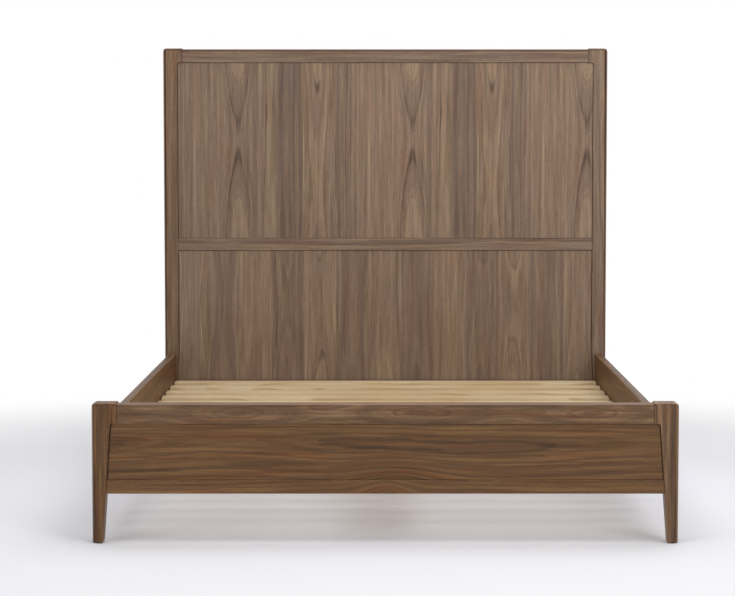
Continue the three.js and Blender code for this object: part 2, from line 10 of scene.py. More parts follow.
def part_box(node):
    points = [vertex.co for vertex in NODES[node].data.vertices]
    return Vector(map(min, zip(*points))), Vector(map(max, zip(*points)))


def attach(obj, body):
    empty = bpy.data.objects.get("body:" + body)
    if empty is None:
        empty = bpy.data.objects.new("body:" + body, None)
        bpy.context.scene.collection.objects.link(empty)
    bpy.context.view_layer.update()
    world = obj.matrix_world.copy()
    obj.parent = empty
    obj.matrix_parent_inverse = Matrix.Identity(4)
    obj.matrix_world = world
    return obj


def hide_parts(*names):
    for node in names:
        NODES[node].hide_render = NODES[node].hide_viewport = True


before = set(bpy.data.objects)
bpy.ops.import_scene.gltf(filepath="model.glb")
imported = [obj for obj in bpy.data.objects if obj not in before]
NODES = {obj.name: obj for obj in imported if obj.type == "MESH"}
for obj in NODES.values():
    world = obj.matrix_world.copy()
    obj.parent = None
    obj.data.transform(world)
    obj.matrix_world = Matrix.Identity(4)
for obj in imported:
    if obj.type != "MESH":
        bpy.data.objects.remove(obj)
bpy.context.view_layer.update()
BED = "bed_frame"
MM = 0.001

# ---- Camera, floor and light ----

CAMERA_PLACE = Vector((0, -7.299, 1.130))
CAMERA_PITCH = math.radians(4.076)
CAMERA_LENS = 110.34
CAMERA_SHIFT = -0.0242
FLOOR_RADIUS = 14.0
FLOOR_MIDDLE = (0, -0.8, 0)
FLOOR_FADE = (1.7, 3.6)  # from FLOOR_MIDDLE to where the floor starts and has become the backdrop
FLOOR_PAINTED_SHADE_TINTS = ("f4f5fc", "ebebed")  # painted light and shade on the floor: lighter, bluish paint under the bed that cools and lifts the shade there, and greyer paint away from it
FLOOR_TINT_FADE = (0.6, 1.6)


def colour(code):
    """A linear colour with alpha, from an sRGB hex code."""
    channels = [int(code[i:i + 2], 16) / 255 for i in (0, 2, 4)]
    linear = [c / 12.92 if c <= 0.04045 else ((c + 0.055) / 1.055) ** 2.4 for c in channels]
    return (*linear, 1.0)


def add_object(name, data):
    obj = bpy.data.objects.new(name, data)
    bpy.context.scene.collection.objects.link(obj)
    return obj


def add_camera():
    data = bpy.data.cameras.new("camera")
    data.lens = CAMERA_LENS
    data.shift_x = CAMERA_SHIFT
    data.clip_end = 60
    camera = add_object("camera", data)
    camera.location = CAMERA_PLACE
    camera.rotation_euler = (math.radians(90) - CAMERA_PITCH, 0, 0)
    bpy.context.scene.camera = camera


def add_softbox(name, place, aim, size, power):
    data = bpy.data.lights.new(name, "AREA")
    data.shape = "RECTANGLE"
    data.size, data.size_y = size
    data.energy = power
    light = add_object(name, data)
    light.location = place
    light.rotation_euler = (Vector(aim) - Vector(place)).to_track_quat("-Z", "Y").to_euler()


# ---- Shader nodes ----


class Graph:
    """Adds nodes to one node tree and joins them. A value is a number, a colour or a socket."""

    def __init__(self, tree):
        self.tree = tree

    def put(self, socket, value):
        if isinstance(value, bpy.types.NodeSocket):
            self.tree.links.new(value, socket)
        else:
            socket.default_value = value

    def add(self, kind, inputs=(), **settings):
        node = self.tree.nodes.new(kind)
        for name, value in settings.items():
            setattr(node, name, value)
        for key, value in dict(inputs).items():
            self.put(node.inputs[key], value)
        return node

    def math(self, operation, *values, clamp=False):
        node = self.add("ShaderNodeMath", enumerate(values), operation=operation, use_clamp=clamp)
        return node.outputs[0]

    def scale(self, vector, factors):
        node = self.add("ShaderNodeVectorMath", {0: vector, 1: factors}, operation="MULTIPLY")
        return node.outputs[0]

    def shift(self, vector, offset):
        return self.add("ShaderNodeVectorMath", {0: vector, 1: offset}, operation="ADD").outputs[0]

    def split(self, vector):
        return self.add("ShaderNodeSeparateXYZ", {0: vector}).outputs

    def join(self, x, y, z):
        return self.add("ShaderNodeCombineXYZ", {0: x, 1: y, 2: z}).outputs[0]

    def noise(self, vector, scale=1.0, detail=2.0, roughness=0.5):
        inputs = {"Vector": vector, "Scale": scale, "Detail": detail, "Roughness": roughness}
        return self.add("ShaderNodeTexNoise", inputs).outputs[0]

    def line_noise(self, position, detail=1.0):
        inputs = {"W": position, "Scale": 1.0, "Detail": detail}
        return self.add("ShaderNodeTexNoise", inputs, noise_dimensions="1D").outputs[0]

    def random(self, value):
        return self.add("ShaderNodeTexWhiteNoise", {"W": value}, noise_dimensions="1D").outputs[0]

    def spread(self, value, low, high, to_low=0.0, to_high=1.0, curve="SMOOTHSTEP"):
        """Takes low..high to to_low..to_high, and holds what lies outside."""
        inputs = {0: value, 1: low, 2: high, 3: to_low, 4: to_high}
        return self.add("ShaderNodeMapRange", inputs, interpolation_type=curve).outputs[0]

    def mix(self, factor, first, second, blend="MIX"):
        inputs = {0: factor, 6: first, 7: second}
        return self.add("ShaderNodeMix", inputs, data_type="RGBA", blend_type=blend).outputs[2]

    def ramp(self, factor, stops):
        node = self.add("ShaderNodeValToRGB", {0: factor})
        elements = node.color_ramp.elements
        while len(elements) < len(stops):
            elements.new(0.5)
        for element, (position, tint) in zip(elements, stops):
            element.position = position
            element.color = tint
        return node.outputs[0]

    def bump(self, height, distance):
        inputs = {"Height": height, "Distance": distance, "Strength": 1.0}
        return self.add("ShaderNodeBump", inputs).outputs[0]


def new_material(name):
    material = bpy.data.materials.new(name)
    material.use_nodes = True
    material.node_tree.nodes.clear()
    return material, Graph(material.node_tree)


def surface(graph, **inputs):
    """Ends a material with one Principled BSDF. Names are its sockets', with _ for spaces."""
    values = {name.replace("_", " "): value for name, value in inputs.items()}
    shader = graph.add("ShaderNodeBsdfPrincipled", values)
    graph.add("ShaderNodeOutputMaterial", {"Surface": shader.outputs[0]})


def object_place(graph):
    return graph.add("ShaderNodeTexCoord").outputs["Object"]


def edge_closeness(graph, node, reach):
    """1 on the edges of a node's box and 0 at reach away from them."""
    low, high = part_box(node)
    distances = []
    for axis, socket in enumerate(graph.split(object_place(graph))):
        from_low = graph.math("SUBTRACT", socket, low[axis])
        to_high = graph.math("SUBTRACT", high[axis], socket)
        distances.append(graph.math("MINIMUM", from_low, to_high))
    a, b, c = distances
    smaller = graph.math("MINIMUM", a, b)
    larger = graph.math("MAXIMUM", a, b)
    middle = graph.math("MAXIMUM", smaller, graph.math("MINIMUM", larger, c))
    return graph.spread(middle, 0.0, reach, 1.0, 0.0)


# ---- Walnut ----

FIGURE_INPUTS = {
    "Place": None,  # across the face, into the wood, along the grain
    "Pith Across": 0.0,
    "Pith Depth": 0.1,
    "Ring Width": 0.004,
    "Wander": 0.02,
    "Wave Length": 0.6,
    "Wave Height": 0.0,
    "Waist": 0.0,
    "Heart": 0.0,
    "Seed": 0.0,
}
FIGURE_OUTPUTS = ("Band", "Line", "Streak", "Fibre", "Pore", "Hue", "Heart", "Outline")
RIPPLE = 12 * MM  # how far the rings swell in and out over a hand's length
JAG = 2.6 * MM  # and over a finger's width
HEART_BLUR = 0.6 * MM
OUTLINE_WIDTH = (0.2 * MM, 1.4 * MM)  # where the heart's outline starts and stops fading
INNER_RINGS = 40.0  # keeps every ring's number above zero


def make_figure():
    """The figure of walnut, cut from a log whose growth rings stand round a wandering pith."""
    group = bpy.data.node_groups.new("walnut_figure", "ShaderNodeTree")
    for name, value in FIGURE_INPUTS.items():
        kind = "NodeSocketVector" if value is None else "NodeSocketFloat"
        group.interface.new_socket(name=name, in_out="INPUT", socket_type=kind)
    for name in FIGURE_OUTPUTS:
        group.interface.new_socket(name=name, in_out="OUTPUT", socket_type="NodeSocketFloat")
    g = Graph(group)
    entry = g.add("NodeGroupInput").outputs
    seed = entry["Seed"]
    place = g.shift(entry["Place"], g.join(g.math("MULTIPLY", seed, 3.1), 0.0, seed))
    across, depth, along = g.split(entry["Place"])

    def wander(rate, offset):
        position = g.math("ADD", g.math("MULTIPLY", along, rate), g.math("ADD", seed, offset))
        return g.math("MULTIPLY", g.math("SUBTRACT", g.line_noise(position), 0.5), entry["Wander"])

    phase = g.math("DIVIDE", g.math("SUBTRACT", along, entry["Waist"]), entry["Wave Length"])
    wave = g.math("COSINE", g.math("MULTIPLY", phase, math.tau))
    swell = g.math("MULTIPLY", wave, entry["Wave Height"])
    sideways = g.math("SUBTRACT", across, entry["Pith Across"])
    sideways = g.math("SUBTRACT", sideways, wander(1.1, 7.0))
    inward = g.math("SUBTRACT", entry["Pith Depth"], depth)
    inward = g.math("SUBTRACT", inward, wander(1.0, 23.0))
    inward = g.math("ADD", inward, swell)
    square = g.math("ADD", g.math("POWER", sideways, 2.0), g.math("POWER", inward, 2.0))
    ripple = g.noise(g.scale(place, (20, 20, 2.6)), detail=3.0, roughness=0.55)
    ripple = g.math("MULTIPLY", g.math("SUBTRACT", ripple, 0.5), RIPPLE)
    jag = g.noise(g.scale(place, (120, 120, 13)), detail=1.0)
    jag = g.math("MULTIPLY", g.math("SUBTRACT", jag, 0.5), JAG)
    even_radius = g.math("ADD", g.math("SQRT", square), g.math("MULTIPLY", jag, 0.6))
    within = g.math("SUBTRACT", entry["Heart"], even_radius)
    heart = g.spread(within, -HEART_BLUR, HEART_BLUR)
    outline = g.spread(g.math("ABSOLUTE", within), *OUTLINE_WIDTH, 1.0, 0.0)
    radius = g.math("ADD", g.math("SQRT", square), g.math("ADD", ripple, jag))
    ring = g.math("ADD", g.math("DIVIDE", radius, entry["Ring Width"]), INNER_RINGS)
    uneven = g.line_noise(g.math("ADD", g.math("MULTIPLY", ring, 0.55), seed))
    ring = g.math("ADD", ring, g.math("MULTIPLY", uneven, 1.6))

    band = g.line_noise(g.math("ADD", g.math("MULTIPLY", ring, 0.42), seed), detail=2.0)
    late = g.spread(g.math("FRACT", ring), 0.35, 0.97)
    early = g.spread(g.math("FRACT", ring), 0.97, 1.0, 1.0, 0.0)
    strength = g.random(g.math("ADD", g.math("FLOOR", ring), seed))
    line = g.math("MULTIPLY", g.math("MULTIPLY", late, early), g.math("POWER", strength, 2.0))
    streak = g.noise(g.scale(place, (105, 105, 3.6)), detail=4.0, roughness=0.62)
    fibre = g.noise(g.scale(place, (380, 380, 18)), detail=2.0)
    dash = g.noise(g.scale(place, (1300, 1300, 75)), detail=0.0)
    pore_zone = g.spread(g.math("FRACT", ring), 0.0, 0.8, 1.0, 0.25)
    pore = g.math("MULTIPLY", g.spread(dash, 0.63, 0.72), pore_zone)
    hue = g.noise(g.scale(place, (42, 42, 2.2)), detail=2.0)
    results = (g.spread(band, 0.3, 0.7), line, streak, fibre, pore, hue, heart, outline)
    g.add("NodeGroupOutput", enumerate(results))
    return group


FIGURE = make_figure()
SMOKE = colour("524234")
# lighter raw wood on worn edges, which is also a painted highlight along them
WORN_EDGE_HIGHLIGHT = colour("a98560")
# painted shade on rounded edges, where they mirror the dark room
ROUNDED_EDGE_SHADE = colour("a4774a")
# painted reflection of the bright backdrop on rounded rims
RIM_REFLECTION = colour("b39a80")
KNOT = colour("a8923c")


class Finish:
    """Walnut's tones under one finish, and what its warm and cool zones lean to. Some finishes are
    lightened and greyed by painted light and sheen.
    """

    def __init__(self, dark, middle, light, warm, cool, zones, edges):
        self.tones = [colour(code) for code in (dark, middle, light)]
        self.warm = colour(warm)
        self.cool = colour(cool)
        self.zones = zones  # how strongly the zones show
        self.edges = edges  # how strongly the painted shade on the rounded edges shows


OILED = Finish("4e3521", "6b4c2d", "8f6a3f", "b07c40", "6e6238", 0.42, 0.45)
# oiled walnut made lighter and greyer by painted light and sheen, for the foot's top rail and the
# right foot post
SHEEN_LIT_OILED = Finish("523b2a", "73573d", "a38260", "ac7e4c", "776c4a", 0.4, 0.45)
# walnut with half the head's painted sheen, for the head post on the less lit left
HALF_SHEEN_GREYED = Finish("5a4333", "7a614a", "98795c", "a3704c", "80704a", 0.4, 1.0)
# the head's walnut, greyed and lightened by a painted sheen: the veil of light its satin face
# mirrors
SHEEN_GREYED = Finish("63524a", "866f5c", "a58d72", "96695a", "83764a", 0.3, 1.0)
# For grain along each axis, the axes across the face, into the wood and along the grain.
GRAINS = {"x": (2, 1, 0), "y": (2, 0, 1), "z": (0, 1, 2)}
BAND_DEPTH = 0.36  # how far the broad bands and the fine streaks carry the wood's tone
STREAK_DEPTH = 1.3
LINE_DEPTH = 0.5  # how strongly late wood, pores, a knot, worn edges with their painted highlight and the painted reflection on rounded rims colour it
PORE_DEPTH = 0.45
KNOT_DEPTH = 0.35
WEAR_AND_HIGHLIGHT_DEPTH = 0.45
WEAR_AND_HIGHLIGHT_REACH = 3 * MM
RIM_REFLECTION_DEPTH = 0.3


def edge_bands(graph):
    """Painted light on rounded edges: the mask of painted shade where a rounded edge still faces
    along the bed, and of a painted reflection where it has turned away from that.
    """
    normal = graph.split(graph.add("ShaderNodeNewGeometry").outputs["Normal"])
    sizes = [graph.math("ABSOLUTE", part) for part in normal]
    others = graph.math("MAXIMUM", sizes[0], sizes[2])
    squareness = graph.math("MAXIMUM", others, sizes[1])
    rounded = graph.spread(squareness, 0.998, 0.92, 0.0, 1.0)
    facing = graph.spread(graph.math("SUBTRACT", sizes[1], others), -0.3, 0.05)
    turned = graph.math("SUBTRACT", 1.0, facing)
    return graph.math("MULTIPLY", rounded, facing), graph.math("MULTIPLY", rounded, turned)


class Cut:
    """How one leaf was cut from its log. pith is across and into the wood from the piece's corner.
    waist is how far along the grain the figure is narrowest, and edge is where the leaf begins.
    heart is the ring that outlines the figure's heart, and how much lighter the wood is inside it.
    knot is how far along a knot stands, how far it bends the grain either way, and by how much."""

    def __init__(self, pith, wave=(1.0, 0.0), waist=0.0, tone=0.0, edge=0.0, heart=(0.0, 0.0),
                 knot=(0.0, 0.1, 0.0)):
        self.pith = pith
        self.wave = wave
        self.waist = waist
        self.tone = tone
        self.edge = edge
        self.heart = heart
        self.knot = knot


def stepped(g, steps, values):
    """The first value, changed to each next one where its step begins."""
    result = values[0]
    for step, before, after in zip(steps, values, values[1:]):
        result = g.math("ADD", result, g.math("MULTIPLY", step, after - before))
    return result


def walnut(node, grain, cuts, seed, finish=OILED, ring=0.004, wander=0.02, shade=1.0, contrast=1.0,
           start=None, outline=1.0):
    """Walnut for one node, made of one or more leaves side by side.
    shade is how light the whole piece is, its own tone and also painted light and shade where light
    falls unevenly on the bed, start is where the first leaf begins if not at the piece's edge, and
    outline is how strongly a heart's outline shows."""
    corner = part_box(node)[0]
    material, g = new_material(f"walnut_{node}")
    axes = GRAINS[grain]
    sockets = g.split(object_place(g))
    origin = [corner[axis] for axis in axes]
    if start is not None:
        origin[0] = start
    across, depth, along = (g.math("SUBTRACT", sockets[axis], at) for axis, at in zip(axes, origin))
    steps = [g.math("GREATER_THAN", across, cut.edge) for cut in cuts[1:]]
    knot, reach, rise = cuts[0].knot
    if rise:
        away = g.math("DIVIDE", g.math("SUBTRACT", along, knot), reach)
        bend = g.math("EXPONENT", g.math("MULTIPLY", g.math("MULTIPLY", away, away), -1.0))
        lift = g.math("MULTIPLY", bend, rise)
        in_knot = g.spread(g.math("SUBTRACT", across, lift), -0.02, 0.0, 1.0, 0.0)
        fading = g.spread(across, 0.0, 2.2 * rise, 1.0, 0.1)
        across = g.math("SUBTRACT", across, g.math("MULTIPLY", lift, fading))
    inputs = {
        "Place": g.join(across, depth, along),
        "Pith Across": stepped(g, steps, [cut.pith[0] for cut in cuts]),
        "Pith Depth": stepped(g, steps, [cut.pith[1] for cut in cuts]),
        "Ring Width": ring,
        "Wander": wander,
        "Wave Length": stepped(g, steps, [cut.wave[0] for cut in cuts]),
        "Wave Height": stepped(g, steps, [cut.wave[1] for cut in cuts]),
        "Waist": stepped(g, steps, [cut.waist for cut in cuts]),
        "Heart": stepped(g, steps, [cut.heart[0] for cut in cuts]),
        "Seed": stepped(g, steps, [seed + 3.7 * number for number in range(len(cuts))]),
    }
    figure = g.tree.nodes.new("ShaderNodeGroup")
    figure.node_tree = FIGURE
    for name, value in inputs.items():
        g.put(figure.inputs[name], value)
    made = figure.outputs
    tone = g.math("MULTIPLY", g.math("SUBTRACT", made["Band"], 0.5), BAND_DEPTH * contrast)
    streak = g.math("MULTIPLY", g.math("SUBTRACT", made["Streak"], 0.5), STREAK_DEPTH * contrast)
    level = stepped(g, steps, [0.5 + cut.tone for cut in cuts])
    inside = g.math("MULTIPLY", made["Heart"], stepped(g, steps, [cut.heart[1] for cut in cuts]))
    tone = g.math("ADD", g.math("ADD", tone, streak), g.math("ADD", level, inside), clamp=True)
    dark, middle, light = finish.tones
    body = g.ramp(tone, [(0.0, dark), (0.5, middle), (1.0, light)])
    for end, tint in ((0.68, finish.cool), (0.33, finish.warm)):
        zone = g.spread(made["Hue"], 0.5, end, 0.0, finish.zones)
        body = g.mix(zone, body, tint, "SOFT_LIGHT")
    late = g.math("MULTIPLY", made["Line"], LINE_DEPTH * contrast)
    body = g.mix(late, body, SMOKE, "MULTIPLY")
    faint = g.math("MULTIPLY", g.spread(made["Hue"], 0.36, 0.62, 0.62, 0.08), outline)
    body = g.mix(g.math("MULTIPLY", made["Outline"], faint), body, SMOKE, "MULTIPLY")
    if rise:
        body = g.mix(g.math("MULTIPLY", in_knot, KNOT_DEPTH), body, KNOT, "SOFT_LIGHT")
    grey_level = g.spread(made["Fibre"], 0.3, 0.7, 0.86, 1.12, "LINEAR")
    body = g.mix(1.0, body, g.join(grey_level, grey_level, grey_level), "MULTIPLY")
    body = g.mix(g.math("MULTIPLY", made["Pore"], PORE_DEPTH), body, SMOKE, "MULTIPLY")
    # worn edges in lighter raw wood, which also serve as the painted highlight along eased edges
    rubbed = g.noise(g.scale(object_place(g), (40, 40, 40)), detail=3.0)
    wear_and_highlight = g.math("MULTIPLY", edge_closeness(g, node, WEAR_AND_HIGHLIGHT_REACH), g.spread(rubbed, 0.35, 0.75))
    body = g.mix(g.math("MULTIPLY", wear_and_highlight, WEAR_AND_HIGHLIGHT_DEPTH), body, WORN_EDGE_HIGHLIGHT)
    # painted shade and painted reflection on the rounded edges, found from the surface's normal
    shaded, reflected_rim = edge_bands(g)
    body = g.mix(g.math("MULTIPLY", shaded, finish.edges), body, ROUNDED_EDGE_SHADE, "MULTIPLY")
    body = g.mix(g.math("MULTIPLY", reflected_rim, RIM_REFLECTION_DEPTH), body, RIM_REFLECTION)
    body = g.add("ShaderNodeHueSaturation", {"Color": body, "Value": shade}).outputs[0]
    rough = g.spread(made["Streak"], 0.3, 0.7, 0.4, 0.5, "LINEAR")
    rough = g.math("ADD", rough, g.math("MULTIPLY", made["Pore"], 0.2))
    height = g.math("SUBTRACT", g.math("MULTIPLY", made["Fibre"], 0.35), made["Pore"])
    surface(g, Base_Color=body, Roughness=rough, Normal=g.bump(height, 0.12 * MM),
            Specular_IOR_Level=0.3, Coat_Weight=0.05, Coat_Roughness=0.3)
    dress(node, material)


def dress(node, material):
    """Gives a CAD node one material."""
    slots = NODES[node].data.materials
    slots.clear()
    slots.append(material)


# ---- Other materials ----


PINE_RINGS = 70.0  # rings in a metre
PINE_BEND = 16.0  # how many rings the grain wanders over


def make_pine():
    """Planed, unfinished pine with its grain along X, Y or Z."""
    made = {}
    for grain, (across_axis, depth_axis, along_axis) in GRAINS.items():
        material, g = new_material(f"pine_along_{grain}")
        sockets = g.split(object_place(g))
        place = g.join(sockets[across_axis], sockets[depth_axis], sockets[along_axis])
        bend = g.noise(g.scale(place, (5, 5, 0.9)), detail=1.5)
        rings = g.math("ADD", g.math("MULTIPLY", sockets[depth_axis], PINE_RINGS),
                       g.math("MULTIPLY", bend, PINE_BEND))
        ring = g.math("FRACT", rings)
        late = g.math("MULTIPLY", g.spread(ring, 0.4, 0.92), g.spread(ring, 0.92, 1.0, 1.0, 0.0))
        fibre = g.noise(g.scale(place, (300, 300, 9)), detail=2.0)
        tone = g.math("ADD", g.math("MULTIPLY", late, 0.6), g.math("MULTIPLY", fibre, 0.4))
        stops = [(0.0, colour("dac7a4")), (0.55, colour("cdb389")), (1.0, colour("b8966a"))]
        body = g.ramp(tone, stops)
        patch = g.noise(object_place(g), 2.3, detail=1.0)
        body = g.mix(g.spread(patch, 0.4, 0.7, 0.0, 0.35), body, colour("b78f62"))
        surface(g, Base_Color=body, Roughness=g.spread(fibre, 0.3, 0.7, 0.6, 0.75, "LINEAR"),
                Normal=g.bump(fibre, 0.06 * MM))
        made[grain] = material
    return made


def make_zinc():
    """Bright zinc plating with its faint spangle, smears and rubbed patches."""
    material, g = new_material("zinc_steel")
    place = object_place(g)
    smear = g.noise(g.scale(place, (90, 90, 35)), detail=3.0)
    spangle = g.add("ShaderNodeTexVoronoi", {"Vector": place, "Scale": 420.0}).outputs["Color"]
    body = g.ramp(smear, [(0.3, colour("9c9f9f")), (0.7, colour("c6c8c6"))])
    body = g.mix(0.08, body, spangle, "SOFT_LIGHT")
    rough = g.spread(smear, 0.3, 0.7, 0.24, 0.42, "LINEAR")
    grit = g.noise(place, 1400.0, detail=1.0)
    surface(g, Base_Color=body, Metallic=1.0, Roughness=rough, Normal=g.bump(grit, 0.03 * MM))
    return material


def make_nylon():
    """Moulded dark nylon with a fine grained skin."""
    material, g = new_material("dark_nylon")
    place = object_place(g)
    mottle = g.noise(place, 60.0, detail=3.0)
    grain = g.noise(place, 1800.0, detail=1.0)
    body = g.ramp(mottle, [(0.3, colour("211d1a")), (0.7, colour("332d28"))])
    surface(g, Base_Color=body, Roughness=g.spread(mottle, 0.3, 0.7, 0.45, 0.6, "LINEAR"),
            Normal=g.bump(grain, 0.06 * MM))
    return material


# ---- Walnut pieces ----

# The head's boards repeat in threes, each of two leaves. The narrow first board is the end of
# a board of the third kind.
BOARD_KINDS = (
    (Cut((-0.07, 0.05), (0.9, 0.004), tone=0.06),
     Cut((0.176, 0.055), (0.85, 0.011), 0.37, edge=0.112, heart=(0.0659, 0.06))),
    (Cut((0.061, 0.045), (1.1, 0.003), 0.43, 0.0, heart=(0.0492, 0.2)),
     Cut((0.26, 0.05), (0.8, 0.004), tone=-0.18, edge=0.086)),
    (Cut((0.052, 0.05), (1.3, 0.010), 0.2, 0.11, heart=(0.0497, 0.07)),
     Cut((0.09, 0.05), (1.2, 0.006), 0.3, 0.04, 0.1, heart=(0.102, -0.14))),
)
BOARD_SEEDS = (3.1, 11.4, 19.7)
THIRD_KIND_WIDTH = 0.230
LOWER_LEAVES = 13
LOWER_LEAF_WIDTH = 0.12


def dress_walnut():
    for number in range(1, 9):
        node = f"head_panel_board_{number}"
        kind = (number - 2) % 3
        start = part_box("head_panel_board_2")[0].x - THIRD_KIND_WIDTH if number == 1 else None
        # shade darkens the boards towards the left: painted shade, as the light falls from the
        # right
        walnut(node, "z", BOARD_KINDS[kind], BOARD_SEEDS[kind], SHEEN_GREYED, ring=0.006, wander=0.01,
               shade=min(1.0, 0.79 + 0.045 * number), contrast=0.8, start=start)
    lower = [Cut((LOWER_LEAF_WIDTH * (leaf + 0.5), 0.05), (1.0, 0.01), 0.3, 0.08 * (-1) ** leaf,
                 LOWER_LEAF_WIDTH * leaf) for leaf in range(LOWER_LEAVES)]
    walnut("head_lower_panel", "z", lower, 27.3, SHEEN_GREYED, ring=0.006, wander=0.03, contrast=0.8)
    walnut("head_top_rail", "x", [Cut((-0.02, 0.09))], 5.2, SHEEN_GREYED, ring=0.005, wander=0.03,
           shade=0.84)
    walnut("head_mid_rail", "x", [Cut((0.09, 0.07))], 8.9, SHEEN_GREYED, ring=0.005, wander=0.03)
    walnut("head_bottom_rail", "x", [Cut((0.04, 0.08))], 14.6, SHEEN_GREYED, ring=0.005, wander=0.03)
    cut = Cut((0.030, 0.034), (0.495, 0.011), 0.113, heart=(0.0275, -0.1))
    walnut("foot_top_rail", "x", [cut], 1.7, SHEEN_LIT_OILED, ring=0.0045, wander=0.014, shade=1.03,
           contrast=1.05, outline=0.5)
    cut = Cut((0.110, 0.05), (1.2, 0.008), 0.3, heart=(0.05, 0.07), knot=(0.81, 0.13, 0.042))
    walnut("foot_panel", "x", [cut], 6.3, wander=0.03, contrast=0.85, outline=0.35)
    cut = Cut((0.16, 0.04), (1.6, 0.006), 0.8, knot=(0.80, 0.07, 0.036))
    walnut("foot_bottom_rail", "x", [cut], 9.4, wander=0.03, shade=1.12, contrast=0.75)
    # the right-hand posts get lighter, greyer finishes and the left-hand ones darker: painted light
    # falling from the right
    sides = (("left", HALF_SHEEN_GREYED, 0.96, OILED, 0.99), ("right", SHEEN_GREYED, 0.9, SHEEN_LIT_OILED, 1.1))
    for number, (side, head_finish, head_shade, foot_finish, foot_shade) in enumerate(sides):
        walnut(f"head_post_{side}", "z", [Cut((0.09, 0.11))], 31.0 + number, head_finish,
               wander=0.03, shade=head_shade)
        walnut(f"foot_post_{side}", "z", [Cut((0.1, 0.12))], 35.0 + number, foot_finish,
               wander=0.03, shade=foot_shade, contrast=1.3)
        walnut(f"side_rail_{side}", "y", [Cut((0.11, 0.06), (1.1, 0.01))], 41.0 + number,
               wander=0.04)


# ---- Edges ----

EASED_EDGE = 1.0 * MM
SLAT_EDGE = 2.0 * MM
METAL_EDGE = 0.3 * MM


def ease(obj, width, segments=3):
    """Rounds a piece's sharp edges and smooths the facets between them."""
    obj.data.polygons.foreach_set("use_smooth", [True] * len(obj.data.polygons))
    weld = obj.modifiers.new("weld", "WELD")
    weld.merge_threshold = 0.01 * MM
    flat = obj.modifiers.new("flat", "DECIMATE")
    flat.decimate_type = "DISSOLVE"
    flat.angle_limit = math.radians(0.5)
    bevel = obj.modifiers.new("bevel", "BEVEL")
    bevel.width = width
    bevel.segments = segments
    bevel.limit_method = "ANGLE"
    bevel.angle_limit = math.radians(30)
    bevel.harden_normals = True
    obj.modifiers.new("normals", "WEIGHTED_NORMAL").keep_sharp = True


# ---- Small turned and threaded pieces ----


def mesh_object(name, bm, material, body=BED):
    """A piece that rides on a CAD body, made from one bmesh."""
    bmesh.ops.recalc_face_normals(bm, faces=bm.faces)
    mesh = bpy.data.meshes.new(name)
    bm.to_mesh(mesh)
    bm.free()
    mesh.materials.append(material)
    obj = add_object(name, mesh)
    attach(obj, body)
    return obj


def smooth_by_angle(obj, degrees):
    """Smooth shading, except across edges sharper than an angle."""
    obj.data.polygons.foreach_set("use_smooth", [True] * len(obj.data.polygons))
    obj.data.set_sharp_from_angle(angle=math.radians(degrees))


def add_rings(bm, rings, closed=False):
    """Faces between rings of points. Both ends are capped, unless the last joins the first."""
    loops = [[bm.verts.new(point) for point in ring] for ring in rings]
    count = len(loops[0])
    pairs = list(zip(loops, loops[1:] + loops[:1])) if closed else list(zip(loops, loops[1:]))
    for lower, upper in pairs:
        for i in range(count):
            j = (i + 1) % count
            bm.faces.new((lower[i], lower[j], upper[j], upper[i]))
    if not closed:
        bm.faces.new(loops[0][::-1])
        bm.faces.new(loops[-1])


def ring_points(radius, z, count, centre=(0.0, 0.0)):
    angles = [math.tau * i / count for i in range(count)]
    return [(centre[0] + radius * math.cos(a), centre[1] + radius * math.sin(a), z) for a in angles]


THREAD_PITCH = 1.5 * MM
THREAD_DEPTH = 0.8 * MM
THREAD_SIDES = 32
THREAD_STEPS = 6  # rings of points in one turn of the thread


def add_thread(bm, centre, radius, low, high):
    """A rod with a right-hand V thread that dies out at both ends."""
    count = round((high - low) / THREAD_PITCH * THREAD_STEPS)
    rings = []
    for k in range(count + 1):
        z = low + (high - low) * k / count
        fade = min(1.0, (z - low) / THREAD_PITCH, (high - z) / THREAD_PITCH)
        ring = []
        for i in range(THREAD_SIDES):
            angle = math.tau * i / THREAD_SIDES
            turn = ((z - low) / THREAD_PITCH - i / THREAD_SIDES) % 1.0
            crest = abs(2 * turn - 1)
            r = radius - THREAD_DEPTH * (1 - fade * crest)
            ring.append((centre[0] + r * math.cos(angle), centre[1] + r * math.sin(angle), z))
        rings.append(ring)
    add_rings(bm, rings)


NUT_SIDES = 72
NUT_CHAMFER = math.radians(30)
NUT_RIM = 0.97  # the radius where the chamfer starts, as a part of half the nut's width


def add_nut(bm, centre, across_flats, bore, low, high):
    """A hexagon nut whose corners are chamfered as turning leaves them."""
    flat = across_flats / 2
    rim = flat * NUT_RIM
    half = (high - low) / 2
    middle = (high + low) / 2
    profile = {"bore": [], "flat": [], "corner": []}
    for i in range(NUT_SIDES):
        angle = math.tau * i / NUT_SIDES
        from_flat = (angle + math.pi / 6) % (math.pi / 3) - math.pi / 6
        corner = flat / math.cos(from_flat)
        drop = max(0.0, corner - rim) * math.tan(NUT_CHAMFER)
        direction = Vector((math.cos(angle), math.sin(angle)))
        profile["bore"].append((direction * bore, half))
        profile["flat"].append((direction * rim, half))
        profile["corner"].append((direction * corner, half - drop))

    def ring(key, sign):
        return [(centre[0] + p.x, centre[1] + p.y, middle + sign * h) for p, h in profile[key]]

    add_rings(bm, [ring("bore", 1), ring("flat", 1), ring("corner", 1), ring("corner", -1),
                   ring("flat", -1), ring("bore", -1)], closed=True)


STEM_RADIUS = 5 * MM
NUT_WIDTH = 17 * MM
NUT_HEIGHTS = (11 * MM, 17 * MM)
TURNED_SIDES = 48
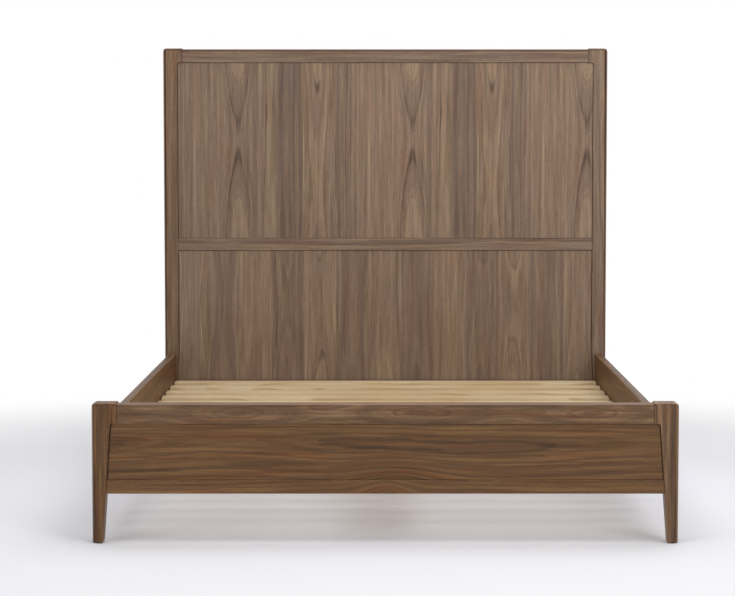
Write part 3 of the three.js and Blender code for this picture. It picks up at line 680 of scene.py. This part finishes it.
# Radius and height of each ring, mm. The flange's heights are from the end of its leg.
FLANGE = [(11.4, 0.0), (11.6, -0.25), (11.2, -0.6), (6.4, -0.6), (5.9, -0.3), (5.9, 0.0)]
PAD = [(19.0, 0.0), (19.7, 0.3), (20.0, 1.0), (20.0, 3.2), (19.6, 3.9), (18.8, 4.4), (13.2, 8.6),
       (12.4, 9.4), (11.6, 10.0), (6.2, 10.0), (5.5, 9.6), (5.4, 8.0), (5.4, 5.7)]


def axis_of(low, high):
    """Where the upright axis of a box stands, across and along the bed."""
    return (low.x + high.x) / 2, (low.y + high.y) / 2


def add_levellers(zinc, nylon):
    """The insert's flange, threaded stem with its nut, and moulded pad of each centre leg."""
    for name in ("foot", "middle", "head"):
        leg_low, leg_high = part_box(f"centre_leg_{name}")
        centre = axis_of(leg_low, leg_high)
        bm = bmesh.new()
        rings = [ring_points(r * MM, leg_low.z + z * MM, TURNED_SIDES, centre) for r, z in FLANGE]
        add_rings(bm, rings, closed=True)
        smooth_by_angle(mesh_object(f"insert_flange_{name}", bm, zinc), 30)
        low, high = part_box(f"leveller_stem_{name}")
        centre = axis_of(low, high)
        bm = bmesh.new()
        add_thread(bm, centre, STEM_RADIUS, low.z, high.z)
        add_nut(bm, centre, NUT_WIDTH, STEM_RADIUS - THREAD_DEPTH, *NUT_HEIGHTS)
        stem = mesh_object(f"threaded_stem_{name}", bm, zinc, f"leveller_stem_{name}")
        smooth_by_angle(stem, 25)
        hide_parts(f"leveller_stem_{name}")
        bm = bmesh.new()
        add_rings(bm, [ring_points(r * MM, z * MM, TURNED_SIDES, centre) for r, z in PAD])
        pad = mesh_object(f"moulded_pad_{name}", bm, nylon, f"leveller_pad_{name}")
        smooth_by_angle(pad, 32)
        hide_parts(f"leveller_pad_{name}")


# ---- Screws ----

SCREW_SIDES = 24
# Radius and height of each ring, mm.
COUNTERSUNK = [(1.6, -2.6), (3.9, -0.35), (4.0, 0.0), (3.9, 0.12), (2.6, 0.26)]
PAN = [(4.1, 0.0), (4.2, 0.5), (4.0, 1.4), (3.3, 2.1), (2.2, 2.45)]
CROSS_ARM = (5.0, 1.0)  # length and width of the recess's arms, mm
RECESS_DEPTH = 1.3 * MM
RECESS_RISE = 0.5 * MM  # how far the recess's tool stands above the head
RECESS_TAPER = 0.75
SCREW_SPIN = 2.4  # radians from one recess to the next, so that no two line up
SLATS = 13
LEDGER_SCREWS = 9
LEDGER_END = 60 * MM  # from a ledger's end to its first screw
BRACKET_SPREAD = 18 * MM  # either way from the bracket's middle
BRACKET_STEEL = 2.5 * MM
BRACKET_REACH = 30 * MM  # from the rail to the screws in the beam
BRACKET_RISE = 9 * MM  # from the bracket's lowest edge to the screws in the rail


def screw_head(profile):
    """The mesh of one screw head with a cross recess. Its seat is at z = 0."""
    bm = bmesh.new()
    add_rings(bm, [ring_points(r * MM, z * MM, SCREW_SIDES) for r, z in profile])
    bmesh.ops.recalc_face_normals(bm, faces=bm.faces)
    head = bpy.data.meshes.new("screw_head")
    bm.to_mesh(head)
    bm.free()
    length, width = (size * MM for size in CROSS_ARM)
    top = profile[-1][1] * MM
    bm = bmesh.new()
    outline = []
    for quarter in range(4):
        turn = Matrix.Rotation(quarter * math.pi / 2, 2)
        for x, y in ((width / 2, width / 2), (length / 2, width / 2), (length / 2, -width / 2)):
            outline.append(turn @ Vector((x, -y)))
    order = sorted(outline, key=lambda p: math.atan2(p.y, p.x))
    floor, rim = top - RECESS_DEPTH, top + RECESS_RISE
    add_rings(bm, [[(p.x * RECESS_TAPER, p.y * RECESS_TAPER, floor) for p in order],
                   [(p.x, p.y, rim) for p in order]])
    bmesh.ops.recalc_face_normals(bm, faces=bm.faces)
    tool = bpy.data.meshes.new("screw_recess")
    bm.to_mesh(tool)
    bm.free()
    head_object = add_object("screw_head_blank", head)
    tool_object = add_object("screw_recess_tool", tool)
    cut = head_object.modifiers.new("recess", "BOOLEAN")
    cut.operation = "DIFFERENCE"
    cut.object = tool_object
    bpy.context.view_layer.update()
    shaped = head_object.evaluated_get(bpy.context.evaluated_depsgraph_get())
    mesh = bpy.data.meshes.new_from_object(shaped)
    for spare in (head_object, tool_object):
        bpy.data.objects.remove(spare)
    return mesh


def add_screws(name, head, places, material):
    """One piece that holds every screw of a kind. A place is a point on the surface and the
    direction out of it."""
    bm = bmesh.new()
    for number, (point, outward) in enumerate(places):
        turn = Vector((0, 0, 1)).rotation_difference(Vector(outward)).to_matrix().to_4x4()
        spin = Matrix.Rotation(number * SCREW_SPIN, 4, "Z")
        start = len(bm.verts)
        bm.from_mesh(head)
        bm.verts.ensure_lookup_table()
        matrix = Matrix.Translation(point) @ turn @ spin
        bmesh.ops.transform(bm, matrix=matrix, verts=bm.verts[start:])
    screws = mesh_object(name, bm, material)
    smooth_by_angle(screws, 35)


def centre_of(low, high):
    return (low + high) / 2


def add_all_screws(zinc):
    countersunk, pan = screw_head(COUNTERSUNK), screw_head(PAN)
    up, down = (0, 0, 1), (0, 0, -1)
    ledgers = {side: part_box(f"slat_ledger_{side}") for side in ("left", "right")}
    slats = [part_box(f"slat_{number:02d}") for number in range(1, SLATS + 1)]
    places = []
    for low, high in slats:
        for ledger in ledgers.values():
            places.append((Vector((centre_of(*ledger).x, centre_of(low, high).y, high.z)), up))
        places.append((Vector((0, centre_of(low, high).y, high.z)), up))
    add_screws("slat_screws", countersunk, places, zinc)
    places = []
    for side, (low, high) in ledgers.items():
        inner = high.x if side == "left" else low.x
        outward = (1, 0, 0) if side == "left" else (-1, 0, 0)
        for step in range(LEDGER_SCREWS):
            y = low.y + LEDGER_END + (high.y - low.y - 2 * LEDGER_END) * step / (LEDGER_SCREWS - 1)
            places.append((Vector((inner, y, centre_of(low, high).z)), outward))
    add_screws("ledger_screws", countersunk, places, zinc)
    places = []
    for end, inward in (("foot", 1), ("head", -1)):
        low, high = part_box(f"beam_bracket_{end}")
        wall = low.y if end == "foot" else high.y
        face = wall + inward * BRACKET_STEEL
        for x in (-BRACKET_SPREAD, BRACKET_SPREAD):
            places.append((Vector((x, face, low.z + BRACKET_RISE)), (0, inward, 0)))
            beam_place = Vector((x, wall + inward * BRACKET_REACH, high.z - BRACKET_STEEL))
            places.append((beam_place, down))
    add_screws("bracket_screws", pan, places, zinc)


# ---- Floor and light ----


def add_floor():
    bm = bmesh.new()
    bmesh.ops.create_circle(bm, cap_ends=True, segments=96, radius=FLOOR_RADIUS)
    mesh = bpy.data.meshes.new("floor")
    bm.to_mesh(mesh)
    bm.free()
    material, g = new_material("pale_floor")
    place = object_place(g)
    from_bed = g.add("ShaderNodeVectorMath", {0: place}, operation="LENGTH").outputs["Value"]
    inputs = {0: place, 1: FLOOR_MIDDLE}
    distance = g.add("ShaderNodeVectorMath", inputs, operation="DISTANCE").outputs["Value"]
    # the floor's paint, lighter and bluish under the bed as painted light and shade
    tint = g.mix(g.spread(from_bed, *FLOOR_TINT_FADE), *(colour(code) for code in FLOOR_PAINTED_SHADE_TINTS))
    paint = g.add("ShaderNodeBsdfDiffuse", {"Color": tint}).outputs[0]
    glow = g.add("ShaderNodeEmission", {"Color": colour("ffffff"), "Strength": 1.0}).outputs[0]
    fade = g.spread(distance, *FLOOR_FADE)
    both = g.add("ShaderNodeMixShader", {0: fade, 1: paint, 2: glow}).outputs[0]
    g.add("ShaderNodeOutputMaterial", {"Surface": both})
    mesh.materials.append(material)
    floor = add_object("floor", mesh)


BACKDROP_LEVEL = 0.85  # what the wood mirrors of the backdrop behind the bed
FRONT_LEVEL = 0.34
SIDE_LEVEL = 0.2
BACKDROP_FADE = (0.15, 0.7)  # how far forward a direction points where the backdrop's level sets in
FRONT_FADE = (-0.45, -0.9)
AMBIENT = "f8f9ff"


def add_world():
    """A white backdrop to the camera. All else sees it bright behind the bed and dark beside it."""
    world = bpy.data.worlds.new("studio")
    world.use_nodes = True
    world.node_tree.nodes.clear()
    g = Graph(world.node_tree)
    forward = g.split(g.add("ShaderNodeTexCoord").outputs["Generated"])[1]
    behind = g.spread(forward, *BACKDROP_FADE, 0.0, BACKDROP_LEVEL - SIDE_LEVEL)
    before = g.spread(forward, *FRONT_FADE, 0.0, FRONT_LEVEL - SIDE_LEVEL)
    level = g.math("ADD", g.math("ADD", behind, before), SIDE_LEVEL)
    seen = g.add("ShaderNodeLightPath").outputs["Is Camera Ray"]
    level = g.math("MAXIMUM", seen, level)
    tint = g.mix(seen, colour(AMBIENT), colour("ffffff"))
    sky = g.add("ShaderNodeBackground", {"Color": tint, "Strength": level}).outputs[0]
    g.add("ShaderNodeOutputWorld", {"Surface": sky})
    bpy.context.scene.world = world


def add_lights():
    add_softbox("overhead", (0.4, -0.7, 3.7), (0.1, -0.1, 0), (4.6, 4.2), 127)
    add_softbox("key", (3.2, -5.5, 3.4), (0.1, 0.4, 0.7), (2.6, 2.2), 94)
    add_softbox("fill", (-4.0, -4.6, 2.4), (0, 0.3, 0.6), (2.2, 2.2), 50)


# ---- The scene ----

bpy.context.scene.view_settings.view_transform = "Standard"
add_camera()
add_floor()
add_world()
add_lights()

PINE = make_pine()
ZINC = make_zinc()
NYLON = make_nylon()
dress_walnut()
for node in NODES:
    if node.startswith("slat_ledger") or node == "centre_beam":
        dress(node, PINE["y"])
    elif node.startswith("slat_"):
        dress(node, PINE["x"])
    elif node.startswith("centre_leg"):
        dress(node, PINE["z"])
    elif "plate" in node or "bracket" in node:
        dress(node, ZINC)
    elif node.startswith("post_glide"):
        dress(node, NYLON)

for node, piece in NODES.items():
    if node.startswith("leveller"):
        continue
    if "plate" in node or "bracket" in node or "glide" in node:
        ease(piece, METAL_EDGE, 2)
    elif node.startswith("slat_"):
        ease(piece, SLAT_EDGE)
    else:
        ease(piece, EASED_EDGE)

add_levellers(ZINC, NYLON)
add_all_screws(ZINC)
